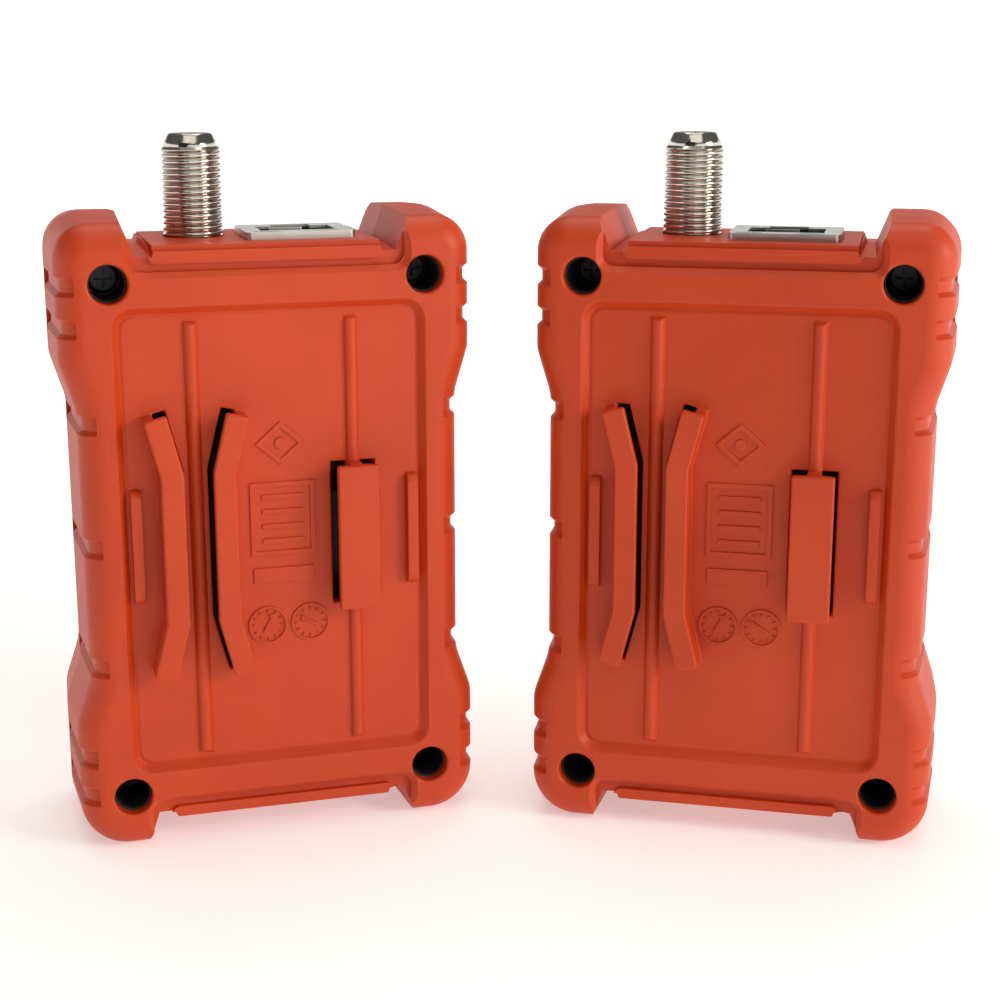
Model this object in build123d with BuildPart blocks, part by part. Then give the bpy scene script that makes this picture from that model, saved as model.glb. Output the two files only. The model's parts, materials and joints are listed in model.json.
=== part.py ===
"""Cable tester kit: two matching hand-held units, a main unit and a remote unit.

Millimetres, +Z up. Each unit is drawn once in its own frame and placed twice.
In a unit's own frame X runs across the case, to the right when seen from behind,
Y runs from the back of the case to its front, Z runs up, and the origin is the
middle of the case. The kit stands on a level surface at Z = 0.
"""

import os
from math import atan2, cos, degrees, hypot, radians, sin, tan

from build123d import *

os.makedirs("parts", exist_ok=True)

# ---- How the two units stand ----
unit_spacing = 79.4          # between the middles of the two cases
unit_stagger = 1.1           # the remote stands this much nearer the viewer's side
main_toe_in = 16.6           # degrees that the main unit's back turns inwards
remote_toe_in = 12.9         # degrees that the remote unit's back turns inwards

# ---- Case, overall ----
case_width = 66.5            # across the lower bumpers, at the parting plane
case_height = 101.6          # over the bumpers, at the parting plane
case_depth = 30.0            # from the back frame to the front face
back_depth = 17.0            # share of the depth that the back shell takes
draft = 3.0                  # degrees of mould draft on the outside walls
wall = 2.3                   # side walls
end_wall_extra = 1.3         # end walls are this much thicker
cavity_corner = 3.0
floor_wall = 2.2             # back panel and front face
back_round = 4.4             # round of the back edge along sides and bumpers
front_round = 3.0            # the same on the front shell
upper_slimmer = 0.25         # upper bumpers are this much narrower a side
waist_inset = 2.5            # how far the sides draw in between the bumpers
waist_start = 28.9           # height where a bumper begins to draw in
waist_full = 21.6            # height where the waist is full
waist_blend = 7.0            # radius at both ends of that slope
top_corner = 6.2             # corner radius of the upper bumpers
low_corner = 8.2             # corner radius of the lower bumpers
bumper_rise = 4.2            # bumpers stand this much past the end face
foot_trim = 0.6              # the lower bumpers' drafted ends are trimmed level by this much
flank_foot_x = 19.7          # foot of a bumper's inner flank
flank_top_x = 21.7           # top of that flank
end_notch_width = 1.3        # small notch between the flank and the end band
end_notch_depth = 0.9
beyond = 10.0                # how far cutters run past the case

# ---- Back face: frame, panel, end valleys ----
panel_half_x = 23.3
panel_half_z = 36.3
panel_drop = 1.1             # panel lies this much under the frame
panel_groove = 0.3           # groove round the panel, below the panel
panel_slope = 1.1            # width of the slope from frame to groove
panel_border = 0.7           # width of the groove's inner slope
panel_corner = 2.2
valley_half_x = 22.3         # outer edge of the slope beside a bumper
valley_foot = 9.0            # outer edge of the slope, from the top of the bumper
valley_drop = 0.9            # end band lies this much under the frame
valley_slope = 0.9
groove_width = 1.2
groove_drop = 0.9            # groove beside the end band, below the band
valley_corner = 2.4
band_corner = 1.3
rib_half_z = 35.0
rib_width = 2.2
rib_height = 0.9
rib_slope = 25               # degrees that the ribs' sides lean

# ---- Docking hooks and block ----
dock_x = 12.5                # channel on one side of the middle, block on the other
flange_rise = 4.8            # outer face of the flanges, above the panel
flange_thick = 1.5
flange_round = 0.35
channel_half = 2.25          # half the gap between the two hooks' flanges
hook_width = 3.55
hook_leg = 1.7
hook_straight = 12.0         # half length of the straight part
hook_half = 21.3             # half length overall
hook_flare = 2.35            # how far the ends turn out
block_width = 6.6
block_half = 11.7
block_web = 2.0
core_margin = 0.3            # moulding window, beyond the flange edge
rail_x = 21.9
rail_width = 1.7
rail_half = 9.2
rail_height = 1.6

# ---- Grip notches ----
notch_heights = (0.0, 19.5, -19.5, 34.4, -34.4, 40.8, -40.8)
notch_floor = 1.7            # width of the flat floor
notch_mouth = 3.1            # width at the surface
notch_depth = 0.75
notch_reach = 21.0           # degrees round the back edge where a notch ends
notch_front = 7.0            # depth where a notch ends on the front shell

# ---- Screws ----
screw_inset_x = 8.75         # from the widest side to the screw axis
screw_inset_z = 9.7          # from the bumper's end to the screw axis
screw_head_r = 2.5
screw_head_t = 1.8
screw_r = 1.3
screw_length = 11.0
screw_end_gap = 0.6          # bores run this much past a screw's end
screw_slot = (2.8, 0.6, 1.1)  # cross slot: length, width, depth
screw_head_round = 0.6
counterbore_r = 3.0
counterbore_depth = 11.5
screw_floor = 3.0            # plastic under the head
boss_r = 4.4
post_slimmer = 0.8           # front posts are this much slimmer than the bosses
rim_round = 0.45
hole_fit = 0.25              # clearance hole round a shank
thread_fit = 0.03            # shank in the bore it has cut

# ---- Connector plate and sockets ----
plate_half_x = 17.6
plate_thick = 2.3
plate_lip = 1.0              # plastic between the plate and the back of the band
plate_margin = 4.4           # from the plate's front edge to the front face
plate_seat = 1.5             # width of the ledge that the plate sits on
fit = 0.1                    # close fit between still pieces
coax_x = -9.4
coax_stand = 2.7             # axis stands this far behind the board
coax_r = 4.7625              # 3/8 inch F-type thread
coax_rise = 16.0             # above the plate
coax_nose = 2.1
coax_pitch = 0.94
coax_thread_depth = 0.42
coax_threads = 14
coax_shank_r = 4.4           # plain shank under the thread
coax_bore_r = 3.1
coax_base = 11.0             # square base on the board
coax_base_length = 10.0
coax_pin_r = 0.75
coax_pin_hole = 0.45
coax_low_r = 2.1             # insulator where it passes through the base
coax_tail = 3.0              # centre contact below the base
coax_face_drop = 0.9         # insulator's face under the nose
coax_pin_drop = 1.0          # contact's end under that face
coax_base_depth = 8.1
coax_shoulder = 1.0          # bore starts this much under the plate
coax_tail_width = 1.0
jack_x = 6.05
jack_width = 17.2
jack_depth = 13.5
jack_length = 21.0
jack_rise = 1.2              # above the plate
jack_sheet = 0.4
jack_skin = 0.42             # insert's distance inside the shield's faces
shield_slots = (3.0, -4.6)    # slots in the shield's top, from its left and right sides
shield_slot_size = (4.2, 0.8)
shield_slot_inset = 0.75
jack_corner = 0.8
plug_width = 11.9
plug_depth = 7.0
plug_reach = 15.0
plug_inset = 2.6             # plug opening from the back of the shield
latch_width = 6.2
latch_depth = 2.2
contact_pitch = 1.02
contact_width = 0.45
contact_high = 3.0           # contacts start and end this far under the socket's mouth
contact_low = 11.0
contact_reach = 2.4          # how far they lean into the plug opening
contact_thick = 0.4

# ---- Board ----
board_clearance = 10.8       # from the board's back, where the sockets stand, to the front face
board_thick = 1.6
board_drop = 5.5             # board's lower edge under the keys
board_end_gap = 0.1
board_half_x = 26.0
board_post_gap = 1.9         # board narrows this far under the upper screws' posts
board_tongue = 19.0
board_post_r = 2.6
board_post_x = 22.4
board_post_heights = (-2.0, 15.0)   # above the keys
board_screw_r = 1.0
board_screw_head_r = 1.9
board_screw_length = 6.0
board_screw_head_t = 1.3
chip_places = (               # x, z above the keys, width, height, how far it stands off
    (-1.0, 1.6, 9.0, 9.0, 1.5),
    (12.2, 3.5, 5.0, 6.2, 1.6),
    (19.6, 5.5, 4.0, 5.0, 1.6),
    (7.0, -2.0, 1.6, 0.9, 0.6),
    (7.0, 0.0, 1.6, 0.9, 0.6),
    (7.0, 2.0, 1.6, 0.9, 0.6),
    (14.0, -1.6, 2.4, 1.4, 1.0),
    (18.0, -0.6, 2.4, 1.4, 1.0),
    (-8.6, 7.6, 1.6, 0.9, 0.6),
    (-8.6, 5.6, 1.6, 0.9, 0.6),
    (-1.0, 8.6, 4.6, 1.9, 1.8),
    (18.8, 10.4, 3.2, 2.6, 1.9),
)
buzzer_x = -16.0
buzzer_rise = 5.6            # above the keys
buzzer_r = 5.9
buzzer_tall = 6.5
buzzer_mouth_r = 1.0
buzzer_mouth_depth = 1.5

# ---- Front ----
face_half_x = 21.5
face_below_keys = 9.0
face_above_leds = 8.5
face_recess = 0.8
face_corner = 3.0
key_drop = 29.6              # middle of the keys under the end face
key_spacing = 13.5
key_r = 4.3
key_rise = 1.2
key_round = 0.7
key_gap = 0.3
key_flange = 1.1             # flange inside the case, wider than the key
key_flange_t = 1.0
key_travel = 0.4
key_stem_r = 1.4
switch_size = 6.0
switch_thick = 3.4
plunger_r = 1.5
plunger_rise = 0.9
plunger_sunk = 1.2
led_rise = 16.0              # above the keys
led_count = 9
led_pitch = 4.0
led_r = 1.2
lens_half_x = 18.5
lens_half_z = 3.4
lens_thick = 1.2
lens_corner = 1.0
lens_lap = 1.2               # how far the faceplate laps over the window
led_base = 1.0

# ---- Battery and its door ----
battery_width = 26.4
battery_depth = 17.4
battery_height = 46.4
battery_slack = 0.4          # between the battery and the door's pad
battery_corner = 2.0
stud_height = 2.4
studs = ((-6.35, 2.9), (6.35, 3.9))   # x and radius of the two snap studs
bay_gap = 0.3
bay_wall = 1.5
door_lap = 3.5               # door laps past the battery bay
door_thick = 1.3
door_tongue = 0.5            # side tongue that runs in the groove
door_tongue_thick = 0.4
door_lip = 0.55              # depth where the tongue starts
door_pad = 0.6               # pad that steadies the battery
door_gap = 0.15
door_head = 0.4              # above the battery's shoulder
door_travel = 4.0
door_sill = 1.6              # door's lower edge above the end face
door_ridges = 5
door_ridge_drop = 5.45       # first ridge under the door's top edge
door_ridge_pitch = 1.8
door_ridge_width = 0.9
door_ridge_height = 0.5
door_ridge_half_x = 8.0
door_pad_drops = (35.0, 15.0)
block_half_x = 12.5
block_arm = 4.2              # contact block's reach behind the board
block_foot = 4.0             # and in front of it
block_lap = 2.5              # how far it laps up the board

# ---- Values that follow from the ones above ----
half_height = case_height / 2
end_z = half_height - bumper_rise
low_side_x = case_width / 2
top_side_x = low_side_x - upper_slimmer
waist_x = low_side_x - waist_inset
back_y = -case_depth / 2
front_y = case_depth / 2
parting_y = back_y + back_depth
slope = tan(radians(draft))
panel_y = back_y + panel_drop
inner_back_y = panel_y + floor_wall
inner_front_y = front_y - floor_wall
inner_end_z = end_z - back_depth * slope - wall - end_wall_extra
screw_x = low_side_x - screw_inset_x
screw_z = half_height - screw_inset_z
screws = [(sx * screw_x, sz * screw_z) for sx in (-1, 1) for sz in (-1, 1)]
screw_seat_y = back_y + counterbore_depth
boss_end_y = screw_seat_y + screw_floor
flange_y = panel_y - flange_rise
plate_top = end_z
plate_low = plate_top - plate_thick
plate_back_y = back_y + valley_drop + plate_lip
plate_front = front_y - plate_margin
board_back = front_y - board_clearance
board_front = board_back + board_thick
coax_y = board_back - coax_stand
coax_top = plate_top + coax_rise
jack_top = plate_top + jack_rise
jack_low = jack_top - jack_length
jack_back_y = board_back - jack_depth
face_y = front_y - face_recess
key_height = end_z - key_drop
led_height = key_height + led_rise
key_flange_r = key_r + key_flange
face_low = key_height - face_below_keys
face_high = led_height + face_above_leds
board_low = key_height - board_drop
board_high = inner_end_z - board_end_gap
board_shoulder = screw_z - boss_r + post_slimmer - board_post_gap
buzzer_place = (buzzer_x, key_height + buzzer_rise)
battery_low = -inner_end_z + bay_gap
battery_top = battery_low + battery_height
battery_y = front_y - door_thick - door_pad - battery_slack - battery_depth / 2
bay_half_x = battery_width / 2 + bay_gap
door_half_x = bay_half_x + door_lap
door_top = battery_top + door_head


def at_depth(y):
    """Plane across the unit at one depth; its own axes are X and Z, and it faces the back."""
    return Plane.XZ.offset(-y)


def near(value, target):
    return abs(value - target) < 1e-3


def case_outline(y):
    """Outline of the case at the parting plane, drawn at depth y."""
    right = [
        (flank_foot_x - end_notch_width - 0.3, end_z),
        (flank_foot_x - end_notch_width, end_z - end_notch_depth),
        (flank_foot_x, end_z - end_notch_depth),
        (flank_top_x, half_height),
        (top_side_x, half_height),
        (top_side_x, waist_start),
        (waist_x, waist_full),
        (waist_x, -waist_full),
        (low_side_x, -waist_start),
        (low_side_x, -half_height),
        (flank_top_x, -half_height),
        (flank_foot_x, end_notch_depth - end_z),
        (flank_foot_x - end_notch_width, end_notch_depth - end_z),
        (flank_foot_x - end_notch_width - 0.3, -end_z),
    ]
    left = [(-x, z) for x, z in reversed(right)]
    with BuildSketch(at_depth(y)) as face:
        with BuildLine():
            Polyline(*right, *left, close=True)
        make_face()
        for reach, end, radius in ((top_side_x, half_height, top_corner),
                                   (low_side_x, -half_height, low_corner)):
            fillet(face.vertices().filter_by(lambda v: near(abs(v.X), reach) and near(v.Y, end)),
                   radius)
        for level in (waist_start, waist_full):
            fillet(face.vertices().filter_by(lambda v: near(abs(v.Y), level)), waist_blend)
    return face.sketch


def cavity_outline(y):
    """Inside of the case: it follows the waist and stops short of the bumpers' ends."""
    reach = waist_x - wall - back_depth * slope
    with BuildSketch(at_depth(y)) as face:
        RectangleRounded(2 * reach, 2 * inner_end_z, cavity_corner)
    return face.sketch


def box_sketch(plane, x0, x1, z0, z1, corner=0.0):
    """Rectangle between two x and two z values, with rounded corners if asked."""
    with BuildSketch(plane) as face:
        with Locations(((x0 + x1) / 2, (z0 + z1) / 2)):
            if corner > 0:
                RectangleRounded(x1 - x0, z1 - z0, corner)
            else:
                Rectangle(x1 - x0, z1 - z0)
    return face.sketch


def circles_sketch(plane, centres, radius):
    with BuildSketch(plane) as face:
        with Locations(*centres):
            Circle(radius)
    return face.sketch


def shifted_path(points, distance):
    """The open path moved sideways to its left by a distance, with mitred bends."""
    runs = []
    for (x0, z0), (x1, z1) in zip(points, points[1:]):
        length = hypot(x1 - x0, z1 - z0)
        nx, nz = -(z1 - z0) / length, (x1 - x0) / length
        runs.append((x0 + nx * distance, z0 + nz * distance, x1 - x0, z1 - z0))
    moved = [runs[0][:2]]
    for (ax, az, adx, adz), (bx, bz, bdx, bdz) in zip(runs, runs[1:]):
        share = ((bx - ax) * bdz - (bz - az) * bdx) / (adx * bdz - adz * bdx)
        moved.append((ax + share * adx, az + share * adz))
    ax, az, adx, adz = runs[-1]
    moved.append((ax + adx, az + adz))
    return moved


def strip_sketch(plane, points, near_edge, far_edge):
    """The strip between two parallels of a path."""
    outline = shifted_path(points, near_edge) + shifted_path(points, far_edge)[::-1]
    with BuildSketch(plane) as face:
        with BuildLine():
            Polyline(*outline, close=True)
        make_face()
    return face.sketch


def hook_path(side):
    """Inner edge of a hook's flange, run so that the hook lies on the path's left."""
    edge = dock_x - side * channel_half
    ends = [
        (-edge + side * hook_flare, hook_half),
        (-edge, hook_straight),
        (-edge, -hook_straight),
        (-edge + side * hook_flare, -hook_half),
    ]
    return ends if side > 0 else ends[::-1]


def below_foot():
    """Block under the level that the case stands on."""
    return box_sketch(at_depth(front_y + 1), -case_width, case_width, -half_height - beyond,
                      foot_trim - half_height)


def notch_section(height, half_width, depth):
    """Cross-section of a notch, to a depth under the rounded back edge and the side."""
    edge_x = half_width - (back_depth - back_round) * slope
    mid_x = edge_x - back_round
    mid_y = back_y + back_round
    inner = back_round - depth
    outer = back_round + 2.0
    turn = radians(notch_reach)
    drift = (parting_y - mid_y) * slope
    start_in = (mid_x + inner * sin(turn), mid_y - inner * cos(turn))
    start_out = (mid_x + outer * sin(turn), mid_y - outer * cos(turn))
    with BuildSketch(Plane.XY.offset(height)) as face:
        with BuildLine():
            RadiusArc(start_in, (mid_x + inner, mid_y), -inner)
            Polyline((mid_x + inner, mid_y), (mid_x + inner + drift, parting_y),
                     (mid_x + inner, notch_front), (mid_x + outer, notch_front), (mid_x + outer, mid_y))
            RadiusArc((mid_x + outer, mid_y), start_out, outer)
            Line(start_out, start_in)
        make_face()
    return face.sketch


def notch_cutter(height, side):
    """Shallow notch that wraps from the back edge round onto the side of the case."""
    if abs(height) < waist_full:
        half_width = waist_x
    elif height > 0:
        half_width = top_side_x
    else:
        half_width = low_side_x
    with BuildPart() as cutter:
        extrude(notch_section(height, half_width, notch_depth), amount=notch_floor / 2, both=True)
        for way in (-1, 1):
            low = notch_section(height + way * notch_floor / 2, half_width, notch_depth)
            high = notch_section(height + way * notch_mouth / 2, half_width, 0)
            loft([low, high], ruled=True)
    return cutter.part if side > 0 else cutter.part.mirror(Plane.YZ)


pieces = []


def keep(part, name, units=("main", "remote")):
    """Remember a finished piece, and for which units it is made."""
    pieces.append((part, name, units))


# ================= Back shell =================
with BuildPart() as back_shell:
    extrude(case_outline(parting_y), amount=back_depth, taper=draft)
    rim = back_shell.edges().filter_by(lambda e: near(e.center().Y, back_y))
    fillet(rim.filter_by(lambda e: abs(e.center().X) > flank_top_x + 0.3), back_round)
    extrude(cavity_outline(parting_y), amount=parting_y - inner_back_y, mode=Mode.SUBTRACT)

    # screw bosses, their deep counterbores and clearance holes
    extrude(circles_sketch(at_depth(boss_end_y), screws, boss_r),
            amount=boss_end_y - inner_back_y)

    # pockets for the ends of the front shell's posts
    extrude(circles_sketch(at_depth(boss_end_y), screws, boss_r - post_slimmer + fit),
            amount=boss_end_y - parting_y, mode=Mode.SUBTRACT)

    # valleys between the bumpers, each with a band left standing in its groove
    valley_z = half_height - valley_foot
    spread = degrees(atan2(valley_slope, valley_drop))
    band_z = valley_z + valley_slope + groove_width
    band_x = flank_foot_x - end_notch_width
    for way in (1, -1):
        far = half_height + beyond
        ends = sorted((way * valley_z, way * far))
        extrude(box_sketch(at_depth(back_y), -valley_half_x, valley_half_x, *ends, valley_corner),
                amount=-valley_drop, taper=spread, mode=Mode.SUBTRACT)
        outer = box_sketch(at_depth(back_y + valley_drop), valley_slope - valley_half_x,
                           valley_half_x - valley_slope,
                           *sorted((way * (valley_z + valley_slope), way * far)),
                           valley_corner - valley_slope / 2)
        band = box_sketch(at_depth(back_y + valley_drop), -band_x, band_x,
                          *sorted((way * band_z, way * (far + beyond))), band_corner)
        extrude(outer - band, amount=-groove_drop, mode=Mode.SUBTRACT)

    # recessed panel with a groove round it
    deep = panel_drop + panel_groove
    rim_x = panel_half_x + panel_slope
    rim_z = panel_half_z + panel_slope
    extrude(box_sketch(at_depth(back_y), -rim_x, rim_x, -rim_z, rim_z, panel_corner + panel_slope),
            amount=-deep, taper=degrees(atan2(panel_slope, deep)), mode=Mode.SUBTRACT)
    extrude(box_sketch(at_depth(back_y + deep), -panel_half_x, panel_half_x, -panel_half_z,
                       panel_half_z, panel_corner),
            amount=panel_groove, taper=degrees(atan2(panel_border, panel_groove)))

    # two long ribs on the panel
    for x in (-dock_x, dock_x):
        extrude(box_sketch(at_depth(panel_y), x - rib_width / 2, x + rib_width / 2,
                           -rib_half_z, rib_half_z), amount=rib_height, taper=rib_slope)

    # two hooks make a flared channel
    for side in (-1, 1):
        path = hook_path(side)
        extrude(strip_sketch(at_depth(panel_y), path, hook_width - hook_leg, hook_width),
                amount=flange_rise)
        extrude(strip_sketch(at_depth(flange_y + flange_thick), path, 0, hook_width),
                amount=flange_thick)
        extrude(strip_sketch(at_depth(panel_y), path, -core_margin, hook_width - hook_leg),
                amount=-floor_wall, mode=Mode.SUBTRACT)

    # block that slides into the other unit's channel
    extrude(box_sketch(at_depth(panel_y), dock_x - block_web / 2, dock_x + block_web / 2,
                       -block_half, block_half), amount=flange_rise)
    extrude(box_sketch(at_depth(flange_y + flange_thick), dock_x - block_width / 2,
                       dock_x + block_width / 2, -block_half, block_half), amount=flange_thick)
    for way in (-1, 1):
        inner_edge = dock_x + way * block_web / 2
        outer_edge = dock_x + way * (block_width / 2 + core_margin)
        extrude(box_sketch(at_depth(panel_y), *sorted((inner_edge, outer_edge)),
                           -block_half, block_half), amount=-floor_wall, mode=Mode.SUBTRACT)

    # soften the flanges' outer faces
    outer_faces = back_shell.faces().filter_by(lambda f: near(f.center().Y, flange_y))
    fillet(outer_faces.edges(), flange_round)

    # half-moon rails beside the panel's edges
    for x in (-rail_x, rail_x):
        with BuildSketch(Plane.YZ.offset(x - rail_width / 2)):
            with Locations((panel_y, 0)):
                RectangleRounded(2 * rail_height, 2 * rail_half, rail_height * 0.98)
        extrude(amount=rail_width)

    # seat for the connector plate, open to the inside
    extrude(box_sketch(Plane.XY.offset(plate_low), -plate_half_x - fit, plate_half_x + fit,
                       plate_back_y - fit, parting_y + 1), amount=beyond, mode=Mode.SUBTRACT)
    extrude(box_sketch(Plane.XY.offset(inner_end_z - 1), plate_seat - plate_half_x,
                       plate_half_x - plate_seat, plate_back_y + plate_seat, parting_y + 1),
            amount=beyond, mode=Mode.SUBTRACT)

    # screw holes
    extrude(circles_sketch(at_depth(back_y), screws, counterbore_r),
            amount=-counterbore_depth, mode=Mode.SUBTRACT)
    extrude(circles_sketch(at_depth(back_y), screws, screw_r + hole_fit),
            amount=-back_depth, mode=Mode.SUBTRACT)
    rims = back_shell.edges().filter_by(GeomType.CIRCLE)
    fillet(rims.filter_by(lambda e: near(e.radius, counterbore_r) and near(e.center().Y, back_y)),
           rim_round)

    # grip notches, and level feet
    for height in notch_heights:
        for side in (-1, 1):
            add(notch_cutter(height, side), mode=Mode.SUBTRACT)
    extrude(below_foot(), amount=case_depth + 2, mode=Mode.SUBTRACT)
keep(back_shell.part, "back_shell")

# ================= Front shells =================
key_places = {"main": [(-key_spacing, key_height), (0, key_height), (key_spacing, key_height)],
              "remote": [(0, key_height)]}
board_posts = [(sx * board_post_x, key_height + rise)
               for sx in (-1, 1) for rise in board_post_heights]
led_places = [((i - (led_count - 1) / 2) * led_pitch, led_height) for i in range(led_count)]
lens_y = face_y - lens_thick


def make_front_shell(keys):
    with BuildPart() as shell:
        extrude(case_outline(parting_y), amount=parting_y - front_y, taper=draft)
        edges = shell.edges().filter_by(lambda e: near(e.center().Y, front_y))
        fillet(edges.filter_by(lambda e: abs(e.center().X) > flank_top_x + 0.3), front_round)
        extrude(cavity_outline(parting_y), amount=parting_y - inner_front_y, mode=Mode.SUBTRACT)

        # posts for the case screws and for the board
        extrude(circles_sketch(at_depth(inner_front_y), screws, boss_r - post_slimmer),
                amount=inner_front_y - boss_end_y)
        extrude(circles_sketch(at_depth(inner_front_y), board_posts, board_post_r),
                amount=inner_front_y - board_front)
        extrude(circles_sketch(at_depth(screw_seat_y + screw_length + screw_end_gap), screws,
                               screw_r + thread_fit),
                amount=case_depth, mode=Mode.SUBTRACT)
        extrude(circles_sketch(at_depth(board_front + board_screw_length), board_posts,
                               board_screw_r + thread_fit), amount=case_depth, mode=Mode.SUBTRACT)

        # walls of the battery bay
        for side in (-1, 1):
            extrude(box_sketch(at_depth(inner_front_y),
                               *sorted((side * bay_half_x, side * (bay_half_x + bay_wall))),
                               -inner_end_z, battery_top),
                    amount=battery_depth)

        # seat for the connector plate
        extrude(box_sketch(Plane.XY.offset(plate_low), -plate_half_x - fit, plate_half_x + fit,
                           parting_y - 1, plate_front + fit), amount=beyond, mode=Mode.SUBTRACT)
        extrude(box_sketch(Plane.XY.offset(inner_end_z - 1), plate_seat - plate_half_x,
                           plate_half_x - plate_seat, parting_y - 1, plate_front - plate_seat),
                amount=beyond, mode=Mode.SUBTRACT)

        # recess for the faceplate, window and key holes
        extrude(box_sketch(at_depth(front_y), -face_half_x, face_half_x, face_low, face_high,
                           face_corner), amount=face_recess, mode=Mode.SUBTRACT)
        extrude(box_sketch(at_depth(front_y), -lens_half_x - fit, lens_half_x + fit,
                           led_height - lens_half_z - fit, led_height + lens_half_z + fit,
                           lens_corner),
                amount=floor_wall, mode=Mode.SUBTRACT)
        extrude(circles_sketch(at_depth(front_y), keys, key_r + key_gap),
                amount=floor_wall, mode=Mode.SUBTRACT)

        # battery opening, and the recess and side grooves that the door slides in
        extrude(box_sketch(at_depth(front_y), -bay_half_x, bay_half_x, battery_low, battery_top - 2,
                           1.0), amount=floor_wall, mode=Mode.SUBTRACT)
        extrude(box_sketch(at_depth(front_y), -door_half_x - door_gap, door_half_x + door_gap,
                           -half_height - beyond, door_top + door_gap),
                amount=door_thick + door_gap, mode=Mode.SUBTRACT)
        groove_x = door_half_x + door_tongue + door_gap
        extrude(box_sketch(at_depth(front_y - door_lip + door_gap), -groove_x, groove_x,
                           -half_height - beyond, door_top + door_gap),
                amount=door_tongue_thick + 2 * door_gap, mode=Mode.SUBTRACT)

        for height in notch_heights:
            for side in (-1, 1):
                add(notch_cutter(height, side), mode=Mode.SUBTRACT)
        extrude(below_foot(), amount=case_depth + 2, mode=Mode.SUBTRACT)
    return shell.part


for unit, keys in key_places.items():
    keep(make_front_shell(keys), "front_shell", (unit,))

    # printed faceplate in its recess
    with BuildPart() as faceplate:
        extrude(box_sketch(at_depth(face_y), fit - face_half_x, face_half_x - fit, face_low + fit,
                           face_high - fit, face_corner - fit), amount=-(face_recess - fit))
        extrude(circles_sketch(at_depth(face_y), keys, key_r + key_gap),
                amount=-face_recess, mode=Mode.SUBTRACT)
        extrude(box_sketch(at_depth(face_y), lens_lap - lens_half_x, lens_half_x - lens_lap,
                           led_height - lens_half_z + lens_lap,
                           led_height + lens_half_z - lens_lap, lens_corner),
                amount=-face_recess, mode=Mode.SUBTRACT)
    keep(faceplate.part, "faceplate", (unit,))

    # tact switches under the keys, each with a bore for its plunger
    with BuildPart() as switches:
        with BuildSketch(at_depth(board_front)):
            with Locations(*keys):
                Rectangle(switch_size, switch_size)
        extrude(amount=-switch_thick)
        extrude(circles_sketch(at_depth(board_front + switch_thick), keys, plunger_r + fit),
                amount=plunger_sunk + key_travel + fit, mode=Mode.SUBTRACT)
    keep(switches.part, "key_switches", (unit,))

key_back_y = inner_front_y - door_gap - key_flange_t
plunger_top = board_front + switch_thick + plunger_rise
key_names = {"main": ["power", "test", "tone"], "remote": ["power"]}
for unit, keys in key_places.items():
    for (x, z), label in zip(keys, key_names[unit]):
        with BuildPart() as key:
            extrude(circles_sketch(at_depth(key_back_y), [(x, z)], key_flange_r),
                    amount=-key_flange_t)
            extrude(circles_sketch(at_depth(key_back_y), [(x, z)], key_r),
                    amount=key_back_y - front_y - key_rise)
            crown = key.edges().filter_by(lambda e: near(e.center().Y, front_y + key_rise))
            fillet(crown, key_round)
            extrude(circles_sketch(at_depth(key_back_y), [(x, z)], key_stem_r),
                    amount=key_back_y - plunger_top)
        keep(key.part, label + "_key", (unit,))
        with BuildPart() as plunger:
            extrude(circles_sketch(at_depth(plunger_top), [(x, z)], plunger_r),
                    amount=plunger_rise + plunger_sunk)
        keep(plunger.part, label + "_plunger", (unit,))

# ================= Display =================
with BuildPart() as lens:
    extrude(box_sketch(at_depth(face_y), -lens_half_x, lens_half_x, led_height - lens_half_z,
                       led_height + lens_half_z, lens_corner - fit), amount=lens_thick)
keep(lens.part, "led_window")

with BuildPart() as leds:
    extrude(circles_sketch(at_depth(board_front), led_places, led_r + hole_fit), amount=-led_base)
    extrude(circles_sketch(at_depth(board_front), led_places, led_r),
            amount=board_front - lens_y + bay_gap)
    domes = leds.edges().filter_by(lambda e: near(e.center().Y, lens_y - bay_gap))
    fillet(domes, led_r * 0.85)
keep(leds.part, "status_leds")

# ================= Board =================
with BuildPart() as board:
    with BuildSketch(at_depth(board_front)):
        with Locations((0, (board_low + board_shoulder) / 2)):
            Rectangle(2 * board_half_x, board_shoulder - board_low)
        with Locations((0, (board_low + board_high) / 2)):
            Rectangle(2 * board_tongue, board_high - board_low)
    extrude(amount=board_thick)
    extrude(circles_sketch(at_depth(board_front), board_posts, board_screw_r + hole_fit),
            amount=board_thick, mode=Mode.SUBTRACT)
keep(board.part, "circuit_board")

with BuildPart() as chips:
    for x, rise, width, height, tall in chip_places:
        z = key_height + rise
        extrude(box_sketch(at_depth(board_back), x - width / 2, x + width / 2, z - height / 2,
                           z + height / 2), amount=tall)
keep(chips.part, "board_chips")

with BuildPart() as buzzer:
    extrude(circles_sketch(at_depth(board_back), [buzzer_place], buzzer_r), amount=buzzer_tall)
    extrude(circles_sketch(at_depth(board_back - buzzer_tall), [buzzer_place], buzzer_mouth_r),
            amount=-buzzer_mouth_depth, mode=Mode.SUBTRACT)
keep(buzzer.part, "buzzer", ("main",))

with BuildPart() as board_screws:
    extrude(circles_sketch(at_depth(board_back), board_posts, board_screw_head_r),
            amount=board_screw_head_t)
    extrude(circles_sketch(at_depth(board_back), board_posts, board_screw_r),
            amount=screw_end_gap - board_thick - board_screw_length)
keep(board_screws.part, "board_screws")

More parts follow.
